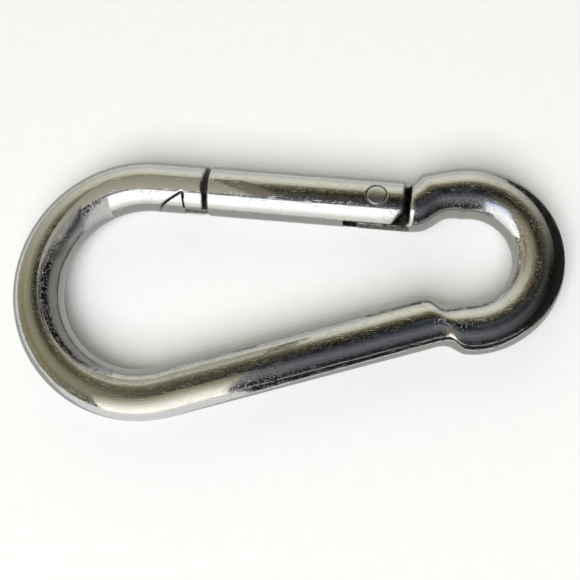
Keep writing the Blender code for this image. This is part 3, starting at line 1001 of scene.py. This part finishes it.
def softLight(name, place, aim, size, power, colour):
    # lights the floor only; the metal is drawn by what it mirrors
    data = bpy.data.lights.new(name, "AREA")
    data.shape = "RECTANGLE"
    data.size, data.size_y = size
    data.energy = power
    data.color = linear(colour)[:3]
    light = bpy.data.objects.new(name, data)
    collection.objects.link(light)
    back = Vector(place) - Vector(aim)
    light.matrix_world = Matrix.Translation(place) @ back.to_track_quat("Z", "Y").to_matrix().to_4x4()
    light.visible_camera = False
    light.visible_glossy = False


def setRamp(ramp, stops):
    while len(ramp.elements) < len(stops):
        ramp.elements.new(0.5)
    for element, (place, colour) in zip(ramp.elements, stops):
        element.position = place
        element.color = colour


cards = {
    # in millimetres: (x, y) of the left and right edges at the foot, and at the top where that differs, then
    # z of the foot and top; stops go from foot to top, and a brightness of 1 is paper white
    "strip": {          # inside the hook's opening, facing the gate, so the leg beside it stays dark
        "foot": [(-43, -7.5), (21, -7.5)], "top": [(-47, 2), (21, -13)], "heights": (1, 46),
        "stops": [(0.0, "#FFFAF0", 1.0), (0.16, "#FFFAF0", 1.1), (0.34, "#FFFFFF", 1.8),
                  (0.9, "#FFFFFF", 1.8), (1.0, "#DDE2FF", 1.0)]},
    "wall": {           # leaning in front of the bow, pale at its foot and olive at its top
        "foot": [(-85, -92), (-10, -92)], "top": [(-85, -50), (-10, -50)], "heights": (2, 92),
        "stops": [(0.0, "#FFF4E8", 2.0), (0.3, "#FFFAF0", 1.5), (0.55, "#E8E2CC", 1.0),
                  (0.8, "#ACA58A", 1.0), (1.0, "#8C8566", 1.0)]},
    "bowShade": {       # keeps the strip out of the bow's left side
        "foot": [(-37, -22), (-37, 6)], "top": [(-37, -22), (-37, 15)], "heights": (1, 62),
        "stops": [(0.0, "#3A3A38", 1.0), (0.03, "#4A4A46", 1.0), (0.08, "#92928C", 1.0),
                  (0.21, "#8A8A84", 1.0), (0.3, "#161614", 1.0)]},
    "bowGlow": {        # lets the strip's light fade out round the bow
        "foot": [(-37, 6), (-37, 24)], "top": [(-37, 15), (-37, 24)], "heights": (1, 62),
        "stops": [(0.0, "#C8C8C8", 1.0), (0.12, "#E4E0DC", 1.1), (0.3, "#D8D2CC", 1.0),
                  (1.0, "#A8A296", 1.0)]},
    "bowPale": {        # the next step of that fade, nearer the bow
        "foot": [(-43, 8.5), (-43, 19)], "heights": (8, 60),
        "stops": [(0.0, "#B0B0B0", 1.0), (0.06, "#4A4A4E", 1.0), (0.1, "#5A585A", 1.0),
                  (0.16, "#A8A29C", 1.0), (0.3, "#ACA8A2", 1.0), (1.0, "#948E80", 1.0)]},
    "bowFade": {        # and the last
        "foot": [(-43, 6), (-43, 8.5)], "heights": (8, 60),
        "stops": [(0.0, "#8A8A88", 1.0), (0.08, "#5A5A58", 1.0), (0.2, "#585652", 1.0),
                  (1.0, "#5E5A50", 1.0)]},
    "eyeCard": {        # white in the eye's inner bend
        "foot": [(31, -1.5), (31, -16)], "heights": (5, 42),
        "stops": [(0.0, "#FFF8F4", 1.2), (0.4, "#FFFFFF", 1.6), (1.0, "#C8D4FF", 1.3)]},
    "ceiling": {        # hangs over the nose and the gate's nose end
        "foot": [(-50, 9), (-12, 6)], "top": [(-52, 50), (-18, 50)], "heights": (39, 41),
        "stops": [(0.0, "#CCC6B8", 1.0), (1.0, "#A0987E", 1.0)]},
    "ceilingFade": {
        "foot": [(-12, 6), (-4, 6)], "top": [(-18, 50), (-9, 50)], "heights": (39, 41),
        "stops": [(0.0, "#8E8676", 1.0), (1.0, "#766E56", 1.0)]},
    "mirroredFloorShade": {      # painted shade: the floor beside the metal as the metal mirrors it, darker than the pale floor, so its edges stand out
        "foot": [(85, -30), (-85, -30)], "top": [(85, 70), (-85, 70)], "heights": (0.3, 0.35),
        "stops": [(0.0, "#B4B4AE", 1.0), (1.0, "#B4B4AE", 1.0)]},
    "eyeShade": {       # black, standing off the eye's end
        "foot": [(80, -50), (80, 70)], "heights": (1, 21),
        "stops": [(0.0, "#2A2A26", 1.0), (1.0, "#161614", 1.0)]},
    "rightShade": {     # black paper lying on the floor right of the eye
        "foot": [(240, -90), (64, -90)], "top": [(240, 90), (64, 90)], "heights": (0.4, 0.5),
        "stops": [(0.0, "#262624", 1.0), (1.0, "#262624", 1.0)]},
    "frontShade": {     # and in front of the leg
        "foot": [(200, -240), (-8, -240)], "top": [(200, -33), (-8, -33)], "heights": (0.4, 0.5),
        "stops": [(0.0, "#262624", 1.0), (1.0, "#262624", 1.0)]},
}


def makeCard(name, card):
    # a graded card that shows only in the metal, and only from its lit side
    low, high = [height * mm for height in card["heights"]]
    foot, top = card["foot"], card.get("top", card["foot"])
    edges = [(*foot[1], low), (*foot[0], low), (*top[0], high), (*top[1], high)]
    mesh = bpy.data.meshes.new(name)
    mesh.from_pydata([(x * mm, y * mm, z) for x, y, z in edges], [], [(0, 1, 2, 3)])
    material = bpy.data.materials.new(name)
    material.use_nodes = True
    tree = material.node_tree
    tree.nodes.clear()
    where = addNode(tree, "ShaderNodeTexCoord").outputs["Object"]
    height = addNode(tree, "ShaderNodeSeparateXYZ", None, {"Vector": where}).outputs["Z"]
    share = addNode(tree, "ShaderNodeMapRange", None, {"Value": height, 1: low, 2: high, 3: 0.0, 4: 1.0})
    ramp = addNode(tree, "ShaderNodeValToRGB", None, {"Fac": share.outputs[0]})
    setRamp(ramp.color_ramp, [(stop, [c * gain for c in linear(colour)[:3]] + [1.0])
                              for stop, colour, gain in card["stops"]])
    glow = addNode(tree, "ShaderNodeEmission", None, {"Color": ramp.outputs["Color"], "Strength": 1.0})
    clear = addNode(tree, "ShaderNodeBsdfTransparent")
    behind = addNode(tree, "ShaderNodeNewGeometry").outputs["Backfacing"]
    oneSided = addNode(tree, "ShaderNodeMixShader", None,
                       {0: behind, 1: glow.outputs["Emission"], 2: clear.outputs["BSDF"]})
    addNode(tree, "ShaderNodeOutputMaterial", None, {"Surface": oneSided.outputs["Shader"]})
    mesh.materials.append(material)
    obj = newObject(name, mesh)
    obj.visible_camera = False
    obj.visible_diffuse = False
    obj.visible_shadow = False


makeCamera()
makeFloor()
makeWorld()
for name, card in cards.items():
    makeCard(name, card)
softLight("overhead", *studio["overhead"])
bpy.context.scene.view_settings.view_transform = "Standard"
print("studio ready")

zinc = zincPlate("brightZincPlate", zincSizes)
zincGate = zincPlate("brightZincGate", zincSizes)
rivetFace = zincPlate("peenedZinc", {**zincSizes, "roughness": rivetSizes["roughness"]}, rivetSizes["grimeAndShade"])
path = hookPath()
makeBody(zinc, sweepTree(), path)
print("body ready")
makeGate(zincGate)
print("gate ready")
makeRivet(rivetFace)
makeSpring(oiledSteel("drawnSpringWire", *steelSizes["wire"]))
makePlunger(oiledSteel("turnedSteel", *steelSizes["turned"]))
print("small parts ready")
